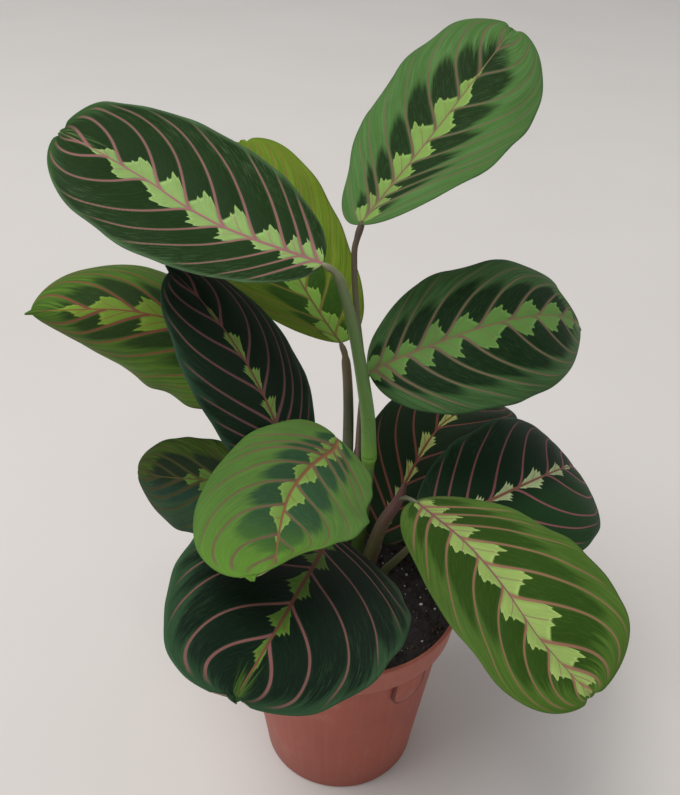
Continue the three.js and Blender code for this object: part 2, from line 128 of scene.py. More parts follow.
LOOKS = {
    "top_left": dict(
        left=(20, 65, 130, 228, 335, 455, 635, 785, 880),
        right=(10, 55, 115, 220, 335, 462, 580, 726, 853),
        sweep=(0.2, 0.19, 0.22, 0.24), rib=((0, 0), (0.2, -0.09), (0.35, -0.12), (0.5, -0.08), (0.62, -0.01),
        (0.8, 0.02), (1, 0)), notch=3.5, dents=((1, 0.94, 0.06, -0.24),), lobe=0.28, lobe_end=0.93,
        dark=(1.02, 0.98), basal=0.4, fan=0.4, rib_width=1),
    "top_right": dict(
        left=(20, 76, 174, 297, 438, 594, 730, 850),
        right=(30, 88, 156, 260, 376, 532, 706, 840),
        sweep=(0.32, 0.14, 0.15, 0.36), spread=0.8, rib=((0, 0), (0.3, 0.03), (0.5, 0.03), (1, 0)), ruffle=0.8,
        notch=4.5, cordate=2, dents=((-1, 0.91, 0.07, -0.14),), lobe=0.25, lobe_end=0.8, dark=(0.44, 0.48),
        dark_end=0.84, basal=0.34),
    "back_upper": dict(
        left=(20, 90, 200, 320, 450, 580, 700, 820),
        right=(30, 140, 250, 370, 500, 620, 750, 860),
        sweep=(0.14, 0.3, 0.3, 0.35), ruffle=0.8, notch=3, lobe=0.25, lobe_end=0.7, dark=(0.5, 0.5),
        dark_end=0.62, basal=0.4, rib_width=0.7),
    "middle_right": dict(
        left=(30, 88, 170, 260, 382, 510, 635, 770, 880),
        right=(20, 56, 138, 218, 315, 480, 615, 750, 880),
        sweep=(0.24, 0.25, 0.12, 0.34), rib=((0, 0), (0.2, 0.05), (0.5, 0.045), (1, 0)), ruffle=0.9,
        bite=(-13, 7, 15), lobe=0.28, lobe_end=1.1, dark=(0.56, 0.62), dark_end=0.86, basal=0.34),
    "far_left": dict(
        left=(0, 170, 340, 500, 660),
        right=(40, 160, 280, 400, 540, 720),
        sweep=(0.7, 0.35, 0.42, 0.3), spread=0.7, basal_step=0.14,
        rib=((0, 0), (0.6, -0.02), (0.8, -0.05), (1, 0)), ruffle=0.8, lobe=0.2, lobe_end=0.93,
        dark=(0.36, 0.38), dark_end=0.82, basal=0.34),
    "left_dark": dict(
        left=(20, 70, 130, 200, 345, 510, 670, 820),
        right=(30, 90, 160, 215, 345, 480, 670, 820),
        sweep=(0.3, 0.22, 0.22, 0.36), lobe=0.17, lobe_end=0.85, dark=(0.9, 0.9), basal=0.1, rib_width=0.9),
    "front_light": dict(
        left=(20, 50, 100, 180, 320, 500, 680, 840),
        right=(30, 70, 100, 180, 300, 460, 660, 820),
        sweep=(0.24, 0.3, 0.22, 0.34), rib=((0, -0.2), (0.06, -0.13), (0.12, -0.05), (0.2, 0), (0.3, 0),
        (0.4, -0.03), (0.5, -0.1), (0.7, -0.25), (0.9, -0.45), (1, -0.55)), ruffle=1, notch=2, cordate=1,
        hook=(-9, 11), dents=((-1, 0.03, 0.05, -0.3), (-1, 0.24, 0.1, 0.08), (-1, 0.885, 0.09, 0.3)),
        bite=(-12, 8, 10), lobe=0.2, lobe_end=0.78, dark=(0.46, 0.42), dark_end=0.8, basal=0.2, fan=0.3,
        rib_width=1, tip_tone=(84, 122, 34)),
    "front_low": dict(
        left=(0, 70, 210, 390, 588, 762),
        right=(30, 120, 230, 362, 582, 730),
        sweep=(0.34, 0.16, 0.22, 0.26), spread=0.75, rib=((0, 0), (0.5, 0.02), (1, 0)), ruffle=0.6, notch=6.8,
        dents=((1, 0.93, 0.09, -0.18), (1, 0.97, 0.025, -0.18), (-1, 0.93, 0.06, -0.12)), lobe=0.15,
        lobe_end=0.97, dark=(0.88, 0.84), basal=0.1, fan=0.45, rib_width=1.3),
    "small_left": dict(
        left=(50, 180, 340, 520, 720),
        right=(50, 200, 360, 540, 760),
        sweep=(0.8, 0.3, 0.5, 0.3), notch=2, lobe=0.27, lobe_end=0.6, dark=(0.4, 0.5), dark_end=0.8, basal=0.2,
        # the left (lower) half leans to a darker teal: the leaf's own darker green with a painted teal sheen
        rib_width=0.6, side_tone=(-1, (26, 54, 44))),
    "back_right": dict(
        left=(30, 100, 150, 235, 370, 550, 700, 840),
        right=(40, 120, 240, 360, 560, 720, 860),
        sweep=(0.36, 0.14, 0.16, 0.3), rib=((0, 0), (0.3, -0.01), (0.45, -0.07), (0.6, -0.13), (0.8, -0.1),
        (1, 0)), notch=2, lobe=0.15, lobe_end=0.9, dark=(1.1, 1.1), basal=0, rib_width=1.2),
    "right_dark": dict(
        left=(30, 90, 170, 291, 438, 612, 760, 880),
        right=(40, 100, 180, 280, 412, 609, 756, 880),
        sweep=(0.22, 0.24, 0.18, 0.38), ruffle=0.6, lobe=0.15, lobe_end=0.95, dark=(0.95, 0.95), basal=0,
        rib_width=1.1, side_tone=(1, (28, 56, 26))),
    "front_right": dict(
        left=(20, 70, 138, 226, 365, 518, 710, 820, 900),
        right=(20, 76, 176, 326, 474, 620, 740, 860),
        sweep=(0.3, 0.26, 0.15, 0.34), rib=((0, 0), (0.2, -0.055), (0.3, -0.055), (0.4, -0.03), (0.5, 0),
        (0.6, 0.05), (0.7, 0.085), (0.85, 0.06), (1, 0)), ruffle=0.6, notch=4.5, cordate=2.5, lobe=0.28,
        lobe_end=1.15, dark=(0.62, 0.64), dark_end=0.9, basal=0.3, fan=0.4),
}
LOOKS = {key: {**COMMON, "seed": seed, **look} for seed, (key, look) in enumerate(LOOKS.items(), 1)}
# colours as seen, 0 to 255: pale lobes, dark zone, two tones of the outer zone, veins, midrib, margin (a bluish
# painted sheen, also used for light lines along the veins)
TONES = ("pale", "deep", "outer", "outer_b", "vein", "rib_tone", "rim")
COLOURS = {
    "top_left": ((130, 158, 92), (24, 45, 17), (46, 76, 38), (48, 78, 38),
        (136, 92, 92), (140, 98, 98), (88, 114, 80)),
    "top_right": ((108, 136, 66), (18, 38, 10), (60, 92, 42), (72, 104, 56),
        (92, 76, 60), (108, 92, 68), (64, 92, 52)),
    # this leaf's colours are painted lighter and yellower than its own: a painted glow of light shining through
    # it from behind
    "back_upper": ((106, 142, 58), (36, 66, 14), (80, 104, 24), (98, 118, 30),
        (106, 92, 48), (100, 80, 54), (88, 102, 40)),
    "middle_right": ((88, 122, 60), (17, 36, 16), (49, 76, 40), (64, 95, 54),
        (106, 84, 70), (108, 96, 68), (56, 80, 54)),
    "far_left": ((100, 126, 42), (28, 48, 14), (54, 80, 25), (72, 102, 31),
        (106, 58, 48), (112, 72, 46), (74, 72, 38)),
    "left_dark": ((98, 122, 58), (15, 29, 17), (28, 52, 34), (28, 50, 36),
        (100, 64, 66), (96, 66, 54), (50, 70, 54)),
    "front_light": ((104, 132, 62), (38, 64, 42), (70, 99, 46), (77, 108, 48),
        (98, 74, 62), (114, 80, 56), (66, 96, 42)),
    "front_low": ((80, 112, 40), (14, 28, 18), (36, 62, 38), (36, 58, 38),
        (122, 80, 78), (104, 66, 52), (56, 84, 56)),
    "small_left": ((66, 92, 34), (14, 28, 12), (36, 48, 12), (52, 72, 16),
        (54, 46, 28), (64, 62, 30), (40, 52, 26)),
    "back_right": ((146, 158, 88), (18, 34, 14), (26, 46, 20), (28, 48, 20),
        (112, 62, 58), (112, 66, 54), (38, 54, 28)),
    "right_dark": ((156, 170, 124), (18, 38, 22), (32, 58, 38), (28, 52, 32),
        (132, 80, 84), (120, 80, 68), (56, 78, 56)),
    "front_right": ((130, 152, 82), (37, 61, 14), (58, 84, 28), (70, 96, 36),
        (128, 88, 74), (116, 80, 78), (76, 100, 44)),
}
NARROW_LOBES = ("left_dark", "front_low", "back_right", "right_dark")


# -------------------- node helpers
def paint(rgb):
    """A seen colour, 0 to 255, as the linear colour that a surface needs under the studio light."""
    linear = [((c / 255 + 0.055) / 1.055) ** 2.4 if c > 10 else c / 255 / 12.92 for c in rgb]
    return tuple(min(c / LIGHT_LEVEL, BRIGHTEST) for c in linear) + (1,)


class Value:
    """An output of a node, which can be added, subtracted and multiplied."""

    def __init__(self, graph, socket):
        self.graph, self.socket = graph, socket

    def __add__(self, other):
        return self.graph.math("ADD", self, other)

    def __sub__(self, other):
        return self.graph.math("SUBTRACT", self, other)

    def __rsub__(self, other):
        return self.graph.math("SUBTRACT", other, self)

    def __mul__(self, other):
        return self.graph.math("MULTIPLY", self, other)


class Graph:
    """Short names for the nodes of one material."""

    def __init__(self, name):
        self.material = bpy.data.materials.new(name)
        self.material.use_nodes = True
        self.tree = self.material.node_tree
        self.shader = self.tree.nodes["Principled BSDF"]

    def put(self, socket, value):
        if isinstance(value, Value):
            self.tree.links.new(value.socket, socket)
        elif value is not None:
            socket.default_value = value

    def node(self, kind, **settings):
        made = self.tree.nodes.new("ShaderNode" + kind)
        for key, value in settings.items():
            setattr(made, key, value)
        return made

    def out(self, made, which=0):
        return Value(self, made.outputs[which])

    def fill(self, made, *values):
        for socket, value in zip(made.inputs, values):
            self.put(socket, value)
        return self.out(made)

    def math(self, operation, a, b=None, c=None):
        return self.fill(self.node("Math", operation=operation), a, b, c)

    def scaled(self, value, factor, offset):
        return self.math("MULTIPLY_ADD", value, factor, offset)

    def attribute(self, name):
        return self.out(self.node("Attribute", attribute_name=name), "Fac")

    def step(self, value, low, high, top=1.0, bottom=0.0):
        """Goes smoothly from bottom to top while value goes from low to high."""
        return self.fill(self.node("MapRange", interpolation_type="SMOOTHSTEP"), value, low, high, bottom, top)

    def mix(self, share, a, b, blend="MIX"):
        made = self.node("Mix", data_type="RGBA", blend_type=blend)
        self.put(made.inputs[0], share)
        self.put(made.inputs[6], a)
        self.put(made.inputs[7], b)
        return self.out(made, 2)

    def vector(self, x, y, z=0.0):
        return self.fill(self.node("CombineXYZ"), x, y, z)

    def noise(self, vector, scale, detail=2.0, roughness=0.5):
        made = self.node("TexNoise")
        for socket, value in zip(("Vector", "Scale", "Detail", "Roughness"), (vector, scale, detail, roughness)):
            self.put(made.inputs[socket], value)
        return self.out(made, "Fac")

    def curve(self, value, points):
        made = self.node("FloatCurve")
        line = made.mapping.curves[0]
        line.points[0].location = points[0]
        line.points[-1].location = points[-1]
        for x, y in points[1:-1]:
            line.points.new(x, y)
        for point in line.points:
            point.handle_type = "VECTOR"
        made.mapping.update()
        self.put(made.inputs["Value"], value)
        return self.out(made)

    def ramp(self, value, stops):
        made = self.node("ValToRGB")
        elements = made.color_ramp.elements
        while len(elements) < len(stops):
            elements.new(0.5)
        for element, (place, colour) in zip(elements, stops):
            element.position = place
            element.color = colour
        return self.fill(made, value)

    def finish(self, colour, roughness, height, strength, depth):
        """Plugs in the colour, the roughness and a bump depth metres deep, and gives the material."""
        bump = self.node("Bump")
        for socket, value in zip(("Strength", "Distance", "Height"), (strength, depth, height)):
            self.put(bump.inputs[socket], value)
        for socket, value in zip(("Base Color", "Roughness", "Normal"), (colour, roughness, self.out(bump))):
            self.put(self.shader.inputs[socket], value)
        return self.material

    def place(self):
        return self.out(self.node("TexCoord"), "Object")


# height of a pale lobe over one interval, from the vein nearer the base (0) to the next one (1)
WIDE_TEETH = ((0, 0.5), (0.08, 0.8), (0.13, 0.93), (0.17, 0.85), (0.3, 1.0), (0.36, 0.9), (0.4, 0.7), (0.5, 0.6),
              (0.57, 0.64), (0.62, 0.48), (0.8, 0.34), (0.9, 0.26), (1, 0.22))
NARROW_TEETH = ((0, 0.04), (0.08, 0.1), (0.16, 0.42), (0.2, 0.34), (0.33, 0.66), (0.4, 1.0), (0.45, 0.62),
                (0.53, 0.74), (0.58, 0.42), (0.66, 0.5), (0.74, 0.16), (0.9, 0.02), (1, 0.0))
SEED_STEP = 3.7
LEAF_GLOSS = 0.08
DRIFT_TONES = (0.8, 0.8, 0.8, 1), (1.18, 1.18, 1.16, 1)       # how far the slow drift darkens and lightens


def between_veins(g, veins, pitch):
    """The place between two veins, 0 to 1, and the millimetres to the nearer one."""
    in_cell = g.math("FRACT", veins)
    return in_cell, g.math("MINIMUM", in_cell, 1 - in_cell) * pitch


def leaf_material(key):
    look = LOOKS[key]
    tint = {name: paint(rgb) for name, rgb in zip(TONES, COLOURS[key])}
    g = Graph(f"leaf_{key}")
    seed = look["seed"] * SEED_STEP
    along, signed, veins, pitch, from_rib = (g.attribute(f"leaf_{letter}") for letter in "stnwx")
    out = g.math("ABSOLUTE", signed)
    right = g.math("GREATER_THAN", signed, 0)
    cell = g.math("FLOOR", veins)
    in_cell, to_vein = between_veins(g, veins, pitch)

    # streaks that run with the veins
    grain = g.vector(veins * 8, out * 2.6, g.scaled(right, 9, seed))
    streak = g.noise(grain, 1, 3, 0.6)
    fine = g.noise(grain, 4, 2, 0.6)
    broad = g.noise(g.vector(along * 3, signed, seed), 1.6, 2)
    lot = g.node("TexWhiteNoise", noise_dimensions="2D")
    g.put(lot.inputs["Vector"], g.vector(cell + 0.5, g.scaled(right, 5, seed + 0.5)))
    chance = g.out(lot, "Value")

    # outer zone, and dark zone with a tongue between each two veins
    outer = g.mix(g.step(streak, 0.38, 0.66), tint["outer"], tint["outer_b"])
    reach = g.scaled(right, look["dark"][1] - look["dark"][0], look["dark"][0])
    edge = reach + (streak - 0.5) * 0.3 + (chance - 0.5) * 0.14
    edge += g.scaled(in_cell * (1 - in_cell), 0.72, -0.11)
    deep = g.step(edge - out, -0.09, 0.07)
    ending = g.scaled(streak - 0.5, 0.2, g.scaled(out, 0.16, along))
    tip_fade = g.step(ending, look["dark_end"] + 0.08, look["dark_end"] - 0.02)
    green = g.mix(deep * tip_fade, outer, tint["deep"])
    green = g.mix(g.step(fine, 0.45, 0.75) * 0.2, green, tint["outer_b"])
    # tones of one half and of the tip, and light lines along the veins in the margin tone, stronger towards the
    # margin: a painted sheen
    if "side_tone" in look:
        side, colour = look["side_tone"]
        green = g.mix(g.step(signed * side, -0.02, 0.3, 0.65), green, paint(colour))
    if "tip_tone" in look:
        green = g.mix(g.step(along, 0.5, 1, 0.6), green, paint(look["tip_tone"]))
    green = g.mix(g.step(fine, 0.52, 0.68) * g.step(out, 0.4, 0.95, 0.35), green, tint["rim"])

    # pale lobes beside the midrib
    teeth = NARROW_TEETH if key in NARROW_LOBES else WIDE_TEETH
    warped = in_cell + (chance + broad * 2) * 0.06 - 0.09
    lobe = g.curve(warped, teeth) * g.scaled(chance, 0.3, 0.85)
    lobe *= g.step(along, look["lobe_end"], look["lobe_end"] - 0.3) * look["lobe"]
    lobe += g.step(along, 0.14, 0, look["basal"]) * g.scaled(streak, 1.4, 0.3)
    inside = lobe + (fine - 0.5) * 0.01 - out
    pale = g.mix(g.step(fine, 0.35, 0.7) * 0.16, tint["pale"], tint["outer_b"])
    border = paint([min(c * 1.1 + 12, 235) for c in COLOURS[key][0]])
    green = g.mix(g.step(inside, -0.008, 0.012), green, g.mix(g.step(inside, 0.04, 0.005, 0.5), pale, border))

    # pale strokes that fan out to the tip
    rays = g.noise(g.vector(signed * 9, along * 2.5, seed), 2.2, 2)
    fan = g.scaled(along - 0.8, 1.3, 0) + (rays - 0.5) * 0.9 - out
    fan = g.step(fan, -0.05, 0.2) * g.step(along, 0.76, 0.88, look["fan"]) * g.step(rays, 0.42, 0.58, 1, 0.15)
    green = g.mix(fan, green, pale)

    # veins, with a faint pale border, and the small vein in the middle of each lobe
    spread = g.math("DIVIDE", to_vein, g.scaled(out, -0.36, 0.72))
    fade = g.step(out, 0.98, 0.84) * g.step(pitch, 1.4, 3.2) * g.step(along, 0.985, 0.9)
    last = g.scaled(right, len(look["right"]) - len(look["left"]), len(look["left"]) - 0.5)
    fade = fade * g.step(veins - last, 0.08, -0.08) * g.step(veins, -0.6, -0.4, 1, 0.6)
    green = g.mix(g.step(spread, 2.4, 1.2, 0.22) * fade, green, tint["outer_b"])
    pink = g.mix(out * 0.35, tint["vein"], tint["outer_b"])
    strong = g.step(spread, 1.2, 0.6)
    green = g.mix(strong * fade * 0.95, green, pink)
    small = g.math("ABSOLUTE", in_cell - 0.44) * pitch
    small = g.step(small, 0.42, 0.12) * g.step(inside, -0.03, 0.03) * g.step(chance, 0.3, 0.5, 0.6)
    green = g.mix(small, green, tint["rib_tone"])
    rib_half = g.scaled(along, -0.8 * look["rib_width"], look["rib_width"])
    rib = g.step(g.math("DIVIDE", g.math("ABSOLUTE", from_rib), rib_half), 1.2, 0.7)
    green = g.mix(rib * g.step(along, 0.97, 0.88), green, tint["rib_tone"])

    # margin, with a bluish painted sheen, and slow colour drift
    green = g.mix(g.step(out, 0.93, 1, 0.5), green, tint["rim"])
    green = g.mix(1, green, g.mix(broad, *DRIFT_TONES), "MULTIPLY")

    g.shader.inputs["Specular IOR Level"].default_value = LEAF_GLOSS
    return g.finish(green, g.scaled(fine, 0.2, 0.42), fine + strong * -0.3, 0.5, 0.0005)


def underside_material(name, base, blush):
    g = Graph(name)
    veins = g.attribute("leaf_n")
    out = g.math("ABSOLUTE", g.attribute("leaf_t"))
    to_vein = between_veins(g, veins, g.attribute("leaf_w"))[1]
    grain = g.vector(veins * 9, out * 2.4)
    fine = g.noise(grain, 3, 3, 0.6)
    broad = g.noise(g.place(), 22, 2)
    colour = g.mix(g.step(broad, 0.35, 0.7), paint(base), paint(blush))
    colour = g.mix(g.step(fine, 0.4, 0.7) * 0.3, colour, paint((128, 140, 112)))
    colour = g.mix(g.step(to_vein, 0.9, 0.3, 0.6), colour, paint((150, 120, 112)))
    rib = g.step(g.math("ABSOLUTE", g.attribute("leaf_x")), 1.9, 0.9)
    colour = g.mix(rib, colour, paint((140, 140, 96)))
    return g.finish(colour, g.scaled(fine, 0.15, 0.5), fine, 0.3, 0.0004)


# -------------------- leaf blades
ROWS = 180
HALF_COLUMNS = 36
SHELL = 0.5               # blade thickness
FAN_END = 0.25            # veins that start below this share of the midrib fan out
BEFORE, BEYOND = 12, 6    # how many veins the numbering goes on for, before the first and beyond the last
PITCH_RANGE = 0.05, 30    # mm
QUILT, GROOVE, RIB_DEPTH = 0.75, 0.45, 0.9        # mm


def midrib(angles, length, shares):
    droop, sweep, twist = np.radians(angles)
    fine = np.linspace(0, 1, 401)
    middles = (fine[1:] + fine[:-1]) / 2
    steps = directions(droop, sweep, middles) * (length / 400)
    points = np.vstack([np.zeros(3), np.cumsum(steps, axis=0)])
    centre = np.stack([np.interp(shares, fine, points[:, k]) for k in range(3)], axis=1)
    along = directions(droop, sweep, shares)
    turn = sweep * shares
    across = np.stack([np.cos(turn), -np.sin(turn), np.zeros_like(turn)], axis=1)
    up = np.cross(across, along)
    bank = (twist * shares)[:, None]
    across = across * np.cos(bank) - up * np.sin(bank)
    return centre, across, np.cross(across, along)


def directions(droop, sweep, shares):
    fall, turn = -droop * shares, sweep * shares
    return np.stack([np.sin(turn) * np.cos(fall), np.cos(turn) * np.cos(fall), np.sin(fall)], axis=1)


def half_width(width, shape, shares):
    _, belly, butt, point = shape
    body = np.minimum(shares / 0.97, 1)
    low = (np.clip(belly - body, 0, 1) / belly) ** butt
    high = (np.clip(body - belly, 0, 1) / (1 - belly)) ** point
    oval = width / 2 * np.sqrt(np.clip(1 - np.where(body < belly, low, high), 0, 1))
    tip = np.where(shares > belly, 1.3 * np.minimum(1, (1 - shares) / 0.03), 0)
    return 0.7 + np.maximum(oval, tip)


def vein_start(sweep, spread, s, out):
    """Where on the midrib the vein through each point starts. The basal veins run on less, so they fan out."""
    run_on = sweep[0] * out + sweep[1] * out ** 3 + 0.02 * (1 - np.exp(-out / 0.06))
    fanned = (s - spread * run_on) / (1 + (1 - spread) * run_on / FAN_END)
    start = np.where(fanned < FAN_END, fanned, s - run_on)
    return np.where(start < 0, s - spread * run_on, start)


def vein_field(origins, sweep, look, s, t, half, length):
    """Number of the vein through each point (whole numbers are veins) and the millimetres to the next one."""
    origins = np.array(origins) / 1000
    start = vein_start(sweep, look["spread"], s, np.abs(t))
    basal_step = look["basal_step"]
    steps = np.diff(origins)
    marks = np.hstack([origins[0] - BEFORE * basal_step, origins, origins[-1] + BEYOND * steps[-1]])
    numbers = np.hstack([-BEFORE, np.arange(len(origins)), len(origins) - 1 + BEYOND])
    middles = (origins[1:] + origins[:-1]) / 2
    middles = np.hstack([origins[0] - basal_step / 2, middles])
    spacing = np.interp(start, middles, np.hstack([basal_step, steps]))
    by_s = np.gradient(start, s[:, 0], axis=0)
    by_t = np.gradient(start, t[0], axis=1)
    t_by_s = -t * np.gradient(half, s[:, 0])[:, None] / half[:, None]
    steepness = np.hypot((by_s + by_t * t_by_s) / length, by_t / half[:, None])
    return np.interp(start, marks, numbers), np.clip(spacing / np.maximum(steepness, 1e-4), *PITCH_RANGE)


def drift(stations, shares):
    fine = np.linspace(0, 1, 201)
    places, values = zip(*stations)
    rough = np.interp(np.linspace(-0.1, 1.1, 241), places, values)
    window = np.hanning(21) / np.hanning(21).sum()
    return np.interp(shares, fine, np.convolve(rough, window, "same")[20:221])


def turn_matrix(heading, pitch, roll):
    return np.array(Matrix.Rotation(math.radians(heading), 3, "Z")
                    @ Matrix.Rotation(math.radians(pitch), 3, "X")
                    @ Matrix.Rotation(math.radians(roll), 3, "Y"))


def baked(made, name):
    """A mesh with what the bmesh holds, which is freed."""
    mesh = bpy.data.meshes.new(name)
    made.to_mesh(mesh)
    made.free()
    return mesh


def new_mesh(name, places, faces, **values):
    """A smooth mesh from places in millimetres, with named values per point."""
    mesh = bpy.data.meshes.new(name)
    mesh.from_pydata((places * MM).tolist(), [], faces)
    for label, data in values.items():
        mesh.attributes.new(label, "FLOAT", "POINT").data.foreach_set("value", np.asarray(data, np.float32))
    mesh.polygons.foreach_set("use_smooth", np.ones(len(mesh.polygons), bool))
    mesh.update()
    return mesh


def blade_mesh(key):
    base, angles, (length, width), bends, (fold, arch), shape = BLADES[key]
    look = LOOKS[key]
    shares = (1 - np.cos(np.pi * np.arange(ROWS + 1) / ROWS)) / 2
    run = np.linspace(-1, 1, 2 * HALF_COLUMNS + 1)
    across_share = np.sign(run) * np.abs(run) ** 1.2
    centre, across, up = midrib(bends, length, shares)
    forward = np.cross(up, across)
    half = half_width(width, shape, shares)
    s, t = np.meshgrid(shares, across_share, indexing="ij")
    out, side = np.abs(t), np.sign(t)
    shift = drift(look["rib"], shares)[:, None]
    edge = 0.012 * np.sin(17 * s + look["seed"] + side) + 0.008 * np.sin(31 * s + 2 * look["seed"] - side)
    reach = half[:, None] * (1 + side * shape[0]) * (1 - side * shift) * (1 + edge * np.clip(out * 2 - 1, 0, 1))
    for dent_side, place, spread, depth in look["dents"]:
        reach *= 1 - depth * np.exp(-((s - place) / spread) ** 2) * (side == dent_side) * out
    fold, arch = math.radians(fold), math.radians(arch)
    slope = fold - arch * out
    x = side * (math.sin(fold) - np.sin(slope)) / arch * reach + shift * half[:, None]
    z = (np.cos(slope) - math.cos(fold)) / arch * reach
    flat_x = t * reach

    left_count, left_pitch = vein_field(look["left"], look["sweep"][:2], look, s, t, half, length)
    right_count, right_pitch = vein_field(look["right"], look["sweep"][2:], look, s, t, half, length)
    number = np.where(t > 0, right_count, left_count)
    pitch = np.where(t > 0, right_pitch, left_pitch)

    # quilting between the veins, a groove over the midrib and a ruffled margin, all in real shape
    quilt = (np.sin(np.pi * (number % 1)) ** 0.8 - 0.55) * QUILT * np.clip((pitch - 1.5) / 9, 0, 1)
    quilt *= np.clip((out - 0.03) / 0.22, 0, 1) * (1 - 0.4 * out) * np.clip((1 - s) / 0.12, 0, 1)
    groove = -GROOVE * np.exp(-(flat_x / 1.5) ** 2) * (1 - 0.7 * s)
    wave = np.sin(2 * np.pi * (3.3 * s + 0.3 * side) + look["seed"])
    wave = look["ruffle"] * out ** 3 * wave * np.sin(np.pi * s)
    drawn = look["notch"] * np.exp(-(flat_x / 3.2) ** 2) * np.clip((s - 0.9) / 0.1, 0, 1) ** 2
    lift = quilt + wave - 0.5 * drawn
    back = drawn + look["cordate"] * np.clip((0.3 - s) / 0.3, 0, 1) ** 2 * out ** 1.5
    bite_at, bite_width, bite_depth = look["bite"]
    back += bite_depth * np.exp(-((flat_x - bite_at) / bite_width) ** 2) * np.clip((s - 0.74) / 0.18, 0, 1) ** 1.5
    aside, onward = look["hook"]
    bend = np.clip((s - 0.45) / 0.55, 0, 1) ** 2
    back -= onward * bend
    x = x + aside * bend
    thickness = SHELL * (1 - 0.45 * out ** 4)
    rib_below = RIB_DEPTH * np.exp(-(flat_x / 1.3) ** 2) * (1 - 0.75 * s) * np.clip(s / 0.02, 0, 1)

    def both(values):
        """One value per point of the top and of the underside."""
        return np.tile(values.ravel(), 2)

    def layer(offset):
        px = x - side * np.sin(slope) * offset
        pz = z + np.cos(slope) * offset
        flat = centre[:, None] + across[:, None] * px[..., None] + up[:, None] * pz[..., None]
        return flat - forward[:, None] * back[..., None]

    top = layer(lift + groove + thickness / 2)
    under = layer(lift + groove * 0.4 - thickness / 2 - rib_below)
    places = np.vstack([top.reshape(-1, 3), under.reshape(-1, 3)])
    places = places @ turn_matrix(*angles).T + np.array(base)

    columns = 2 * HALF_COLUMNS + 1
    grid = np.arange((ROWS + 1) * columns).reshape(ROWS + 1, columns)
    quads = np.stack([grid[:-1, :-1], grid[:-1, 1:], grid[1:, 1:], grid[1:, :-1]], axis=-1).reshape(-1, 4)
    ring = np.hstack([grid[0, :-1], grid[:-1, -1], grid[-1, :0:-1], grid[:0:-1, 0]])
    ahead = np.roll(ring, -1)
    rim = np.stack([ahead, ring, ring + grid.size, ahead + grid.size], axis=-1)
    faces = np.vstack([quads, quads[:, ::-1] + grid.size, rim])

    mesh = new_mesh(f"leaf_{key}", places, faces.tolist(), leaf_s=both(s), leaf_t=both(t), leaf_x=both(flat_x))
    # vein numbers differ between the halves, so they are kept per face corner
    corner_vertex = np.zeros(len(mesh.loops), np.int32)
    mesh.loops.foreach_get("vertex_index", corner_vertex)
    on_right = np.repeat(both(t)[faces].mean(axis=1) > 0, 4)
    for name, left, right in (("leaf_n", left_count, right_count), ("leaf_w", left_pitch, right_pitch)):
        values = np.where(on_right, both(right)[corner_vertex], both(left)[corner_vertex])
        mesh.attributes.new(name, "FLOAT", "CORNER").data.foreach_set("value", values.astype(np.float32))
    slots = np.hstack([np.zeros(len(quads)), np.ones(len(quads)), np.zeros(len(rim))])
    mesh.polygons.foreach_set("material_index", slots.astype(np.int32))
    mesh.update()
    return mesh


def add_piece(name, mesh, materials, slot, *replaced):
    for material in materials:
        mesh.materials.append(material)
    made = put_in_scene(name, mesh)
    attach(made, "root")
    if replaced:
        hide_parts(*replaced)


LIGHT_BLADES = ("top_right", "back_upper", "far_left", "front_light", "front_right", "middle_right")
BROWN_PETIOLES = ("front_right", "middle_right", "back_right", "left_dark", "small_left")
light_under = underside_material("underside_light", (120, 142, 92), (128, 118, 104))
dark_under = underside_material("underside_dark", (92, 108, 84), (110, 86, 94))
for key in BLADES:
    shade, under = ("light_blade", light_under) if key in LIGHT_BLADES else ("dark_blade", dark_under)
    add_piece(f"leaf_{key}", blade_mesh(key), (leaf_material(key), under), shade, f"blade_{key}")


# -------------------- stems
def smooth_path(points, count):
    """The same curve as in the CAD, a uniform Catmull-Rom spline, cut at even arc lengths.

    Gives the points, each one's share of the length, and the length.
    """
    p = np.array(points, float)
    p = np.vstack([2 * p[0] - p[1], p, 2 * p[-1] - p[-2]])
    fine = []
    for i in range(1, len(p) - 2):
        u = np.linspace(0, 1, 60, endpoint=False)[:, None]
        m0, m1 = 0.5 * (p[i + 1] - p[i - 1]), 0.5 * (p[i + 2] - p[i])
        fine.append((2 * u**3 - 3 * u**2 + 1) * p[i] + (u**3 - 2 * u**2 + u) * m0
                    + (-2 * u**3 + 3 * u**2) * p[i + 1] + (u**3 - u**2) * m1)
    fine = np.vstack(fine + [p[-2:-1]])
    lengths = np.hstack([0, np.cumsum(np.linalg.norm(np.diff(fine, axis=0), axis=1))])
    marks = np.linspace(0, lengths[-1], count)
    path = np.stack([np.interp(marks, lengths, fine[:, k]) for k in range(3)], axis=1)
    return path, np.linspace(0, 1, count), lengths[-1]


